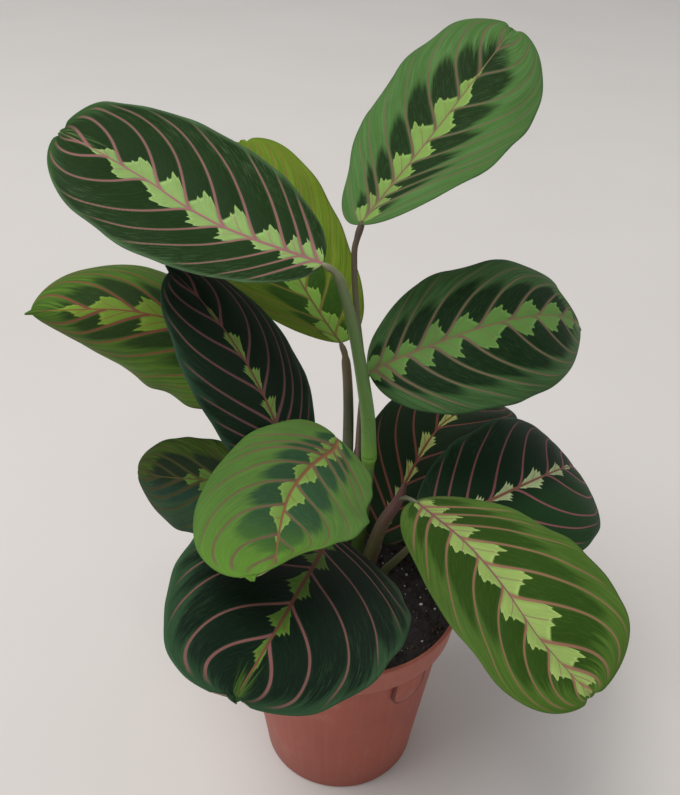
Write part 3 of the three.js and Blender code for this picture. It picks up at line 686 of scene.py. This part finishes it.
def tube_mesh(name, path, radius, section, sides=24):
    """A closed stem along path. radius is one number per point; section(angle, share) shapes the ring."""
    tangents = np.gradient(path, axis=0)
    tangents /= np.linalg.norm(tangents, axis=1)[:, None]
    normal = np.cross(tangents[0], (1.0, 0.0, 0.0))
    normal /= np.linalg.norm(normal)
    angle = 2 * np.pi * np.arange(sides) / sides
    rows, shares = [], []
    count = len(path)
    for i in range(count):
        normal = normal - tangents[i] * (normal @ tangents[i])
        normal /= np.linalg.norm(normal)
        side = np.cross(tangents[i], normal)
        share = i / (count - 1)
        r = radius[i] * section(angle, share)
        for bulge, inward in cap_rings(i, count):
            centre = path[i] + tangents[i] * radius[i] * bulge
            rows.append(centre + np.outer(r * inward * np.cos(angle), normal)
                        + np.outer(r * inward * np.sin(angle), side))
            shares.append(share)
    rows = np.array(rows)
    total = len(rows)
    places = np.vstack([rows.reshape(-1, 3), rows[0].mean(0), rows[-1].mean(0)])
    index = np.arange(total * sides).reshape(total, sides)
    ahead = np.roll(index, -1, axis=1)
    faces = np.stack([index[:-1], ahead[:-1], ahead[1:], index[1:]], axis=-1).reshape(-1, 4).tolist()
    low, high = total * sides, total * sides + 1
    faces += [[int(index[0, j]), low, int(ahead[0, j])] for j in range(sides)]
    faces += [[int(ahead[-1, j]), high, int(index[-1, j])] for j in range(sides)]
    along = np.hstack([np.repeat(shares, sides), 0, 1])
    around = np.hstack([np.tile(np.sin(angle), total), 0, 0])
    return new_mesh(name, places, faces, stem_t=along, stem_a=around)


def cap_rings(i, count):
    """Extra rings that round off both ends: (offset along the stem, share of the radius)."""
    if i == 0:
        return [(-0.45, 0.35), (-0.3, 0.75), (0.0, 1.0)]
    if i == count - 1:
        return [(0.0, 1.0), (0.3, 0.75), (0.45, 0.35)]
    return [(0.0, 1.0)]


def stem_material(name, stops, freckle):
    g = Graph(name)
    along = g.attribute("stem_t")
    streak = g.noise(g.vector(g.attribute("stem_a") * 3, along * 5), 3, 3)
    spots = g.noise(g.place(), 420, 2)
    colour = g.ramp(along, [(place, paint(rgb)) for place, *rgb in stops])
    colour = g.mix(g.step(streak, 0.4, 0.7, 0.35), colour, paint(freckle))
    colour = g.mix(g.step(spots, 0.6, 0.72, 0.3), colour, paint(freckle))
    return g.finish(colour, g.scaled(spots, 0.2, 0.36), streak + spots * 0.4, 0.4, 0.0004)


# seen colours from the foot (0) to the blade (1), each after its place, and the colour of the fine streaks
STEM_TONES = {
    "top_left": (((0, 96, 142, 40), (0.12, 92, 132, 56), (0.6, 86, 112, 62), (0.93, 98, 104, 74),
        (1, 120, 112, 92)),
        (66, 92, 50)),
    "top_right": (((0, 84, 92, 60), (0.6, 92, 92, 66), (0.9, 72, 58, 44), (1, 60, 44, 34)), (60, 60, 44)),
    "back_upper": (((0, 60, 66, 40), (0.55, 72, 82, 56), (0.8, 70, 74, 50), (0.88, 92, 80, 58), (1, 92, 78, 54)),
        (52, 48, 36)),
    "middle_right": (((0, 110, 92, 80), (0.5, 120, 100, 90), (1, 112, 96, 76)), (88, 70, 62)),
    "far_left": (((0, 74, 84, 48), (0.6, 84, 92, 56), (1, 80, 76, 52)), (60, 60, 42)),
    "left_dark": (((0, 70, 62, 44), (0.6, 76, 66, 50), (1, 70, 58, 44)), (54, 44, 36)),
    "front_light": (((0, 78, 92, 48), (0.6, 88, 102, 56), (1, 98, 100, 62)), (60, 70, 42)),
    "front_low": (((0, 70, 78, 44), (0.6, 84, 70, 50), (1, 98, 62, 50)), (60, 52, 38)),
    "small_left": (((0, 70, 66, 44), (0.6, 78, 66, 48), (1, 74, 60, 44)), (56, 48, 36)),
    "back_right": (((0, 70, 60, 42), (1, 84, 62, 50)), (52, 44, 34)),
    "right_dark": (((0, 78, 82, 52), (0.5, 86, 92, 60), (1, 92, 78, 62)), (62, 62, 44)),
    "front_right": (((0, 70, 72, 38), (0.6, 80, 84, 50), (0.9, 76, 76, 56), (1, 84, 86, 66)), (60, 62, 44)),
    "cane": (((0, 50, 60, 22), (0.5, 56, 80, 28), (0.9, 66, 94, 38), (0.96, 84, 120, 40), (1, 92, 132, 40)),
        (50, 66, 26)),
    "sheath": (((0, 52, 56, 22), (0.4, 64, 60, 34), (0.7, 84, 56, 52), (0.9, 88, 48, 46), (1, 70, 44, 34)),
        (56, 42, 34)),
}


def petiole_section(angle, share):
    """Nearly round, with a shallow channel down one side that dies out at the pulvinus."""
    return 1 - 0.1 * np.exp(-((np.cos(angle) - 1) / 0.12) ** 2) * (1 - share) + 0.02 * np.cos(3 * angle)


for key, ((foot, top), *points) in PETIOLES.items():
    base = np.array(BLADES[key][0], float)
    arrival = base - np.array(points[-1])
    arrival /= np.linalg.norm(arrival)
    path, shares, length = smooth_path(points + [tuple(base - BLADE_GAP * arrival)], 70)
    to_blade = (1 - shares) * length
    radius = foot + (top - foot) * shares
    joint = np.clip((9 - to_blade) / 3, 0, 1)
    thick = 0.8 if key == "front_right" else 1.25
    radius = radius * (1 - joint) + (thick + 0.3 * np.sin(np.pi * np.clip(to_blade / 8, 0, 1))) * joint
    radius *= 1 - 0.25 * np.clip(1 - to_blade / 1.2, 0, 1)
    name, slot = f"stem_{key}", "brown_stem" if key in BROWN_PETIOLES else "green_stem"
    material = stem_material(name, *STEM_TONES[key])
    add_piece(name, tube_mesh(name, path, radius, petiole_section), (material,), slot, f"petiole_{key}")

path, shares, _ = smooth_path(CANE, 60)
node = 0.8 * np.exp(-((shares - 1.0) / 0.03) ** 2)
scar = 0.25 * np.exp(-((shares - 0.45) / 0.02) ** 2)
radius = 3.8 - 0.7 * shares + node + scar
cane = tube_mesh("cane_stem", path, radius, lambda angle, share: 1 + 0.02 * np.cos(2 * angle))
material = stem_material("cane_stem", *STEM_TONES["cane"])
add_piece("cane_stem", cane, (material,), "green_stem", "cane")

# the winged sheath: a keeled tube with a seam groove that narrows to a free tip
path, shares, _ = smooth_path(SHEATH, 60)
radius = 3.5 * np.sqrt(np.clip(1 - shares ** 2.6, 0.004, 1))


def sheath_section(angle, share):
    keel = 0.16 * np.exp(-((np.sin(angle) + 1) / 0.1) ** 2)
    seam = -0.2 * np.exp(-((np.sin(angle - 0.5) - 1) / 0.03) ** 2)
    return 0.94 + keel + seam


sheath = tube_mesh("sheath_front_right", path, radius, sheath_section, 36)
material = stem_material("sheath_front_right", *STEM_TONES["sheath"])
add_piece("sheath_front_right", sheath, (material,), "brown_stem")

# -------------------- pot
POT_HEIGHT = 110
POT_PROFILE = (
    (0, 0), (38, 0), (39.6, 0.15), (40.6, 0.6), (41, 1.4), (44.9, 31), (49.1, 62), (53.25, 92.6), (53.45, 93.2),
    (54.2, 93.7), (56.4, 93.95), (57.1, 94.1), (57.45, 94.6), (58.3, 100.5), (59.0, 106.6), (59.35, 107.3),
    (59.9, 107.8), (60, 108.4), (60, 109.2), (59.8, 109.75), (59.3, 110), (58.5, 110), (58.05, 109.8),
    (57.9, 109.3), (57.1, 102), (56.3, 96.4), (55.6, 96.1), (52.6, 95.4), (52.2, 94.8), (44, 32), (40.1, 3),
    (39.2, 1.8), (0, 1.6),
)
POT_STEPS = 180
WALL_FOOT, WALL_SPREAD, WALL_HEIGHT = 41, 12.4, 94        # the wall below the collar leans out by the spread
LABEL_FOOT, LABEL_HALF, LABEL_TALL, LABEL_MIDDLE, LABEL_AZIMUTH = 72.5, 8.5, 21.5, 7, 40
DRAINS, DRAIN_CIRCLE, DRAIN_RADIUS = 8, 27, 4
SHARP_EDGE = 50           # degrees


def turns(steps):
    return [2 * math.pi * k / steps for k in range(steps)]


def lathe(profile, steps):
    """A closed solid of revolution about Z from a profile that starts and ends on the axis."""
    made = bmesh.new()
    rings = []
    for r, z in profile:
        if r == 0:
            rings.append([made.verts.new((0, 0, z * MM))])
        else:
            rings.append([made.verts.new((r * MM * math.sin(a), -r * MM * math.cos(a), z * MM))
                          for a in turns(steps)])
    for low, high in zip(rings, rings[1:]):
        for k in range(steps):
            nxt = (k + 1) % steps
            if len(low) == 1:
                made.faces.new((low[0], high[nxt], high[k]))
            elif len(high) == 1:
                made.faces.new((low[k], low[nxt], high[0]))
            else:
                made.faces.new((low[k], low[nxt], high[nxt], high[k]))
    bmesh.ops.recalc_face_normals(made, faces=made.faces)
    return made


def label_pocket(made, layers, material_index):
    """A thin U-shaped pocket for a plant label under the collar. Each layer is (size, height off the wall)."""
    lean = math.atan2(WALL_SPREAD, WALL_HEIGHT)
    reach = WALL_FOOT + WALL_SPREAD * LABEL_FOOT / WALL_HEIGHT
    outline = [(-LABEL_HALF, LABEL_TALL)]
    for a in np.linspace(math.pi, 2 * math.pi, 25):
        outline.append((LABEL_HALF * math.cos(a), LABEL_HALF + LABEL_HALF * math.sin(a)))
    outline.append((LABEL_HALF, LABEL_TALL))
    turn = Matrix.Rotation(math.radians(LABEL_AZIMUTH), 4, "Z")
    rows = []
    for size, out in layers:
        row = []
        for u, v in outline:
            rise = LABEL_MIDDLE + (v - LABEL_MIDDLE) * size
            outward = reach + out * math.cos(lean) + math.tan(lean) * rise
            spot = Vector((u * size, -outward, LABEL_FOOT + rise - out * math.sin(lean)))
            row.append(made.verts.new((turn @ spot) * MM))
        rows.append(row)
    count = len(outline)
    faces = [made.faces.new(rows[-1]), made.faces.new(list(reversed(rows[0])))]
    for low, high in zip(rows, rows[1:]):
        for k in range(count):
            faces.append(made.faces.new((low[k], low[(k + 1) % count], high[(k + 1) % count], high[k])))
    for face in faces:
        face.material_index = material_index


pot_bmesh = lathe(POT_PROFILE, POT_STEPS)
for vert in pot_bmesh.verts:
    angle = math.atan2(vert.co.y, vert.co.x)
    soft = 0.00018 * math.sin(2 * angle + 0.7) + 0.00008 * math.sin(5 * angle)
    share = vert.co.z / (POT_HEIGHT * MM)
    vert.co.x += math.cos(angle) * soft * share
    vert.co.y += math.sin(angle) * soft * share
pot = put_in_scene("nursery_pot", baked(pot_bmesh, "nursery_pot"))

drill = bmesh.new()
for k in range(DRAINS):
    angle = 2 * math.pi * (k + 0.5) / DRAINS
    place = Matrix.Translation(Vector((math.cos(angle), math.sin(angle), 0)) * DRAIN_CIRCLE * MM)
    size = {"radius1": DRAIN_RADIUS * MM, "radius2": DRAIN_RADIUS * MM, "depth": 0.01}
    bmesh.ops.create_cone(drill, cap_ends=True, segments=32, matrix=place, **size)
drill_object = put_in_scene("drill", baked(drill, "drill"))
cut = pot.modifiers.new("drains", "BOOLEAN")
cut.operation = "DIFFERENCE"
cut.solver = "EXACT"
cut.object = drill_object
bpy.context.view_layer.update()
drilled = bpy.data.meshes.new_from_object(pot.evaluated_get(bpy.context.evaluated_depsgraph_get()))
bpy.data.objects.remove(pot)
bpy.data.objects.remove(drill_object)
pot_bmesh = bmesh.new()
pot_bmesh.from_mesh(drilled)
label_pocket(pot_bmesh, ((1.02, -0.6), (1.02, 0.95), (1.0, 1.05)), 0)
label_pocket(pot_bmesh, ((1.17, -0.6), (1.17, 0.7), (1.13, 0.9)), 1)         # a larger copy round it in a darker material: a painted shadow line at the pocket's edge
bmesh.ops.recalc_face_normals(pot_bmesh, faces=pot_bmesh.faces)
for edge in pot_bmesh.edges:
    if len(edge.link_faces) == 2 and edge.calc_face_angle(0) > math.radians(SHARP_EDGE):
        edge.smooth = False
for face in pot_bmesh.faces:
    face.smooth = True
pot_bmesh.to_mesh(drilled)
pot_bmesh.free()
drilled.name = "nursery_pot"


def pot_material():
    g = Graph("pot_plastic")
    place = g.place()
    split = g.node("SeparateXYZ")
    g.fill(split, place)
    height = g.math("DIVIDE", g.out(split, 2), POT_HEIGHT * MM)
    angle = g.math("ARCTAN2", g.out(split, 1), g.out(split))
    cloud = g.noise(place, 26, 3)
    flow = g.noise(g.vector(angle * 12, height * 1.2), 1.5, 3)
    grain = g.noise(place, 1500, 2)
    smear = g.noise(place, 60, 4, 0.65)
    colour = g.mix(g.step(cloud, 0.3, 0.7), paint((129, 59, 45)), paint((140, 68, 52)))
    colour = g.mix(g.step(flow, 0.42, 0.72, 0.2), colour, paint((154, 88, 74)))
    colour = g.mix(g.step(height, 0.84, 0.87, 0.3), colour, paint((158, 98, 84)))
    colour = g.mix(g.step(height, 0.3, 0, 0.3), colour, paint((124, 60, 46)))
    colour = g.mix(g.step(smear, 0.56, 0.72, 0.18), colour, paint((164, 122, 108)))
    specks = g.node("TexVoronoi")
    g.put(specks.inputs["Vector"], place)
    specks.inputs["Scale"].default_value = 70
    speck = g.step(g.out(specks, "Distance"), 0.075, 0.04) * g.step(smear, 0.5, 0.56)
    colour = g.mix(speck, colour, paint((44, 30, 26)))
    roughness = grain * 0.12 + g.scaled(cloud, 0.16, 0.36)
    return g.finish(colour, roughness, grain * 0.35 + flow, 0.25, 0.0003)


def peat_material(name, dark, light, roughness):
    g = Graph(name)
    place = g.place()
    clod = g.noise(place, 160, 4, 0.6)
    grit = g.noise(place, 900, 3, 0.6)
    colour = g.mix(g.step(clod, 0.35, 0.7), paint(dark), paint(light))
    colour = g.mix(g.step(grit, 0.62, 0.78, 0.5), colour, paint((74, 60, 50)))
    return g.finish(colour, g.scaled(grit, 0.3, roughness), clod + grit, 0.8, 0.0008)


# the dark outline round the label pocket is a painted shadow, in a peat-like reddish brown
pocket_shadow_line = peat_material("pocket_shadow_line", (92, 46, 38), (104, 56, 46), 0.6)
add_piece("nursery_pot", drilled, (pot_material(), pocket_shadow_line), "pot", "pot")

# -------------------- soil
SOIL_EDGE, LUMPS_EDGE, SOIL_RIM, SOIL_CROWN = 56.6, 54.5, 101.6, 2.5
SOIL_SIDES = ((55.8, 96.6), (51.8, 95.2), (44.0, 34.0), (40.5, 6.0), (39.0, 2.0))      # radius, height; hidden
random = np.random.default_rng(11)


def soil_level(x, y):
    out = min(math.hypot(x, y) / SOIL_EDGE, 1)
    swell = math.sin(x * 0.31 + 1.3) * math.cos(y * 0.27 - 0.4) + 0.6 * math.sin((x + y) * 0.55)
    level = SOIL_RIM + SOIL_CROWN * (1 - out * out) + 0.5 * swell * (1 - out ** 6)
    clods = noise.fractal(Vector((x, y, 3.0)) * 0.16, 0.9, 2.1, 4) * 1.5
    grit = noise.fractal(Vector((x, y, 9.0)) * 0.9, 0.8, 2.1, 3) * 0.7
    return level + clods + grit


def soil_mesh():
    rings, steps = 80, 210
    made = bmesh.new()
    centre = made.verts.new((0, 0, soil_level(0, 0) * MM))
    rows = []
    for i in range(1, rings + 1):
        r = SOIL_EDGE * i / rings
        row = []
        for a in turns(steps):
            x, y = r * math.cos(a), r * math.sin(a)
            row.append(made.verts.new((x * MM, y * MM, soil_level(x, y) * MM)))
        rows.append(row)
    for r, z in SOIL_SIDES:
        rows.append([made.verts.new((r * MM * math.cos(a), r * MM * math.sin(a), z * MM)) for a in turns(steps)])
    foot = made.verts.new((0, 0, z * MM))
    for k in range(steps):
        nxt = (k + 1) % steps
        made.faces.new((centre, rows[0][k], rows[0][nxt]))
        made.faces.new((foot, rows[-1][nxt], rows[-1][k]))
        for low, high in zip(rows, rows[1:]):
            made.faces.new((low[k], high[k], high[nxt], low[nxt]))
    mesh = baked(made, "soil_bed")
    mesh.polygons.foreach_set("use_smooth", np.ones(len(mesh.polygons), bool))
    return mesh


def lumps_mesh(name, count, sizes, lift):
    """Many small irregular lumps lying on the soil, as one mesh; lift is a share of each one's size."""
    seed_ball = bmesh.new()
    bmesh.ops.create_icosphere(seed_ball, subdivisions=2, radius=1.0)
    ball = np.array([v.co for v in seed_ball.verts])
    ball_faces = np.array([[v.index for v in f.verts] for f in seed_ball.faces])
    seed_ball.free()
    places, faces = [], []
    for n in range(count):
        r = LUMPS_EDGE * math.sqrt(random.random())
        a = 2 * math.pi * random.random()
        size = sizes[0] + (sizes[1] - sizes[0]) * random.random() ** 3
        x, y = r * math.cos(a), r * math.sin(a)
        offset = Vector(random.random(3) * 50)
        knobs = np.array([0.75 + 0.55 * noise.noise(Vector(p) * 1.4 + offset)
                          + 0.25 * noise.noise(Vector(p) * 3.1 + offset) for p in ball])
        shape = ball * knobs[:, None] * size * (0.6 + 0.7 * random.random(3))
        spin = 2 * math.pi * random.random()
        turn = np.array(Matrix.Rotation(spin, 3, Vector(random.random(3) - 0.5).normalized()))
        shape = shape @ turn.T + (x, y, soil_level(x, y) + size * lift)
        faces.append(ball_faces + n * len(ball))
        places.append(shape)
    return new_mesh(name, np.vstack(places), np.vstack(faces).tolist())


peat = peat_material("peat", (22, 18, 18), (40, 33, 30), 0.66)
loose_peat = peat_material("peat_crumbs", (26, 20, 20), (50, 41, 36), 0.6)
perlite = peat_material("perlite", (170, 166, 160), (205, 202, 198), 0.55)
add_piece("soil_bed", soil_mesh(), (peat,), "soil", "soil")
add_piece("peat_crumbs", lumps_mesh("peat_crumbs", 620, (0.5, 2.2), 0.15), (loose_peat,), "soil")
add_piece("perlite_grains", lumps_mesh("perlite_grains", 210, (0.2, 0.95), 0.3), (perlite,), "soil")


# -------------------- studio
def add_light(name, place, aim, size, power, colour):
    data = bpy.data.lights.new(name, "AREA")
    data.shape = "RECTANGLE"
    data.size, data.size_y = size
    data.energy = power
    data.color = colour
    light = put_in_scene(name, data)
    light.location = place
    light.rotation_euler = (Vector(aim) - Vector(place)).to_track_quat("-Z", "Y").to_euler()


def add_floor():
    made = bmesh.new()
    bmesh.ops.create_grid(made, x_segments=40, y_segments=40, size=9)
    mesh = baked(made, "floor")
    g = Graph("pale_floor")
    cloud = g.noise(g.place(), 3, 3)
    g.put(g.shader.inputs["Base Color"], g.mix(cloud, (0.60, 0.565, 0.54, 1), (0.66, 0.625, 0.60, 1)))
    g.shader.inputs["Roughness"].default_value = 0.85
    mesh.materials.append(g.material)
    floor = put_in_scene("floor", mesh)


add_floor()
add_light("overhead", (-1.35, -0.6, 4.6), (0, 0.2, 0.2), (3, 2.4), 146, (1, 0.99, 0.97))
add_light("window", (-2.6, -1.2, 1.8), (0, 0, 0.2), (1.6, 1.6), 20, (0.93, 0.97, 1))
world = bpy.data.worlds.new("studio")
world.use_nodes = True
world.node_tree.nodes["Background"].inputs["Color"].default_value = (0.96, 0.97, 0.98, 1)
world.node_tree.nodes["Background"].inputs["Strength"].default_value = 0.5
scene.world = world
scene.view_settings.view_transform = "Standard"
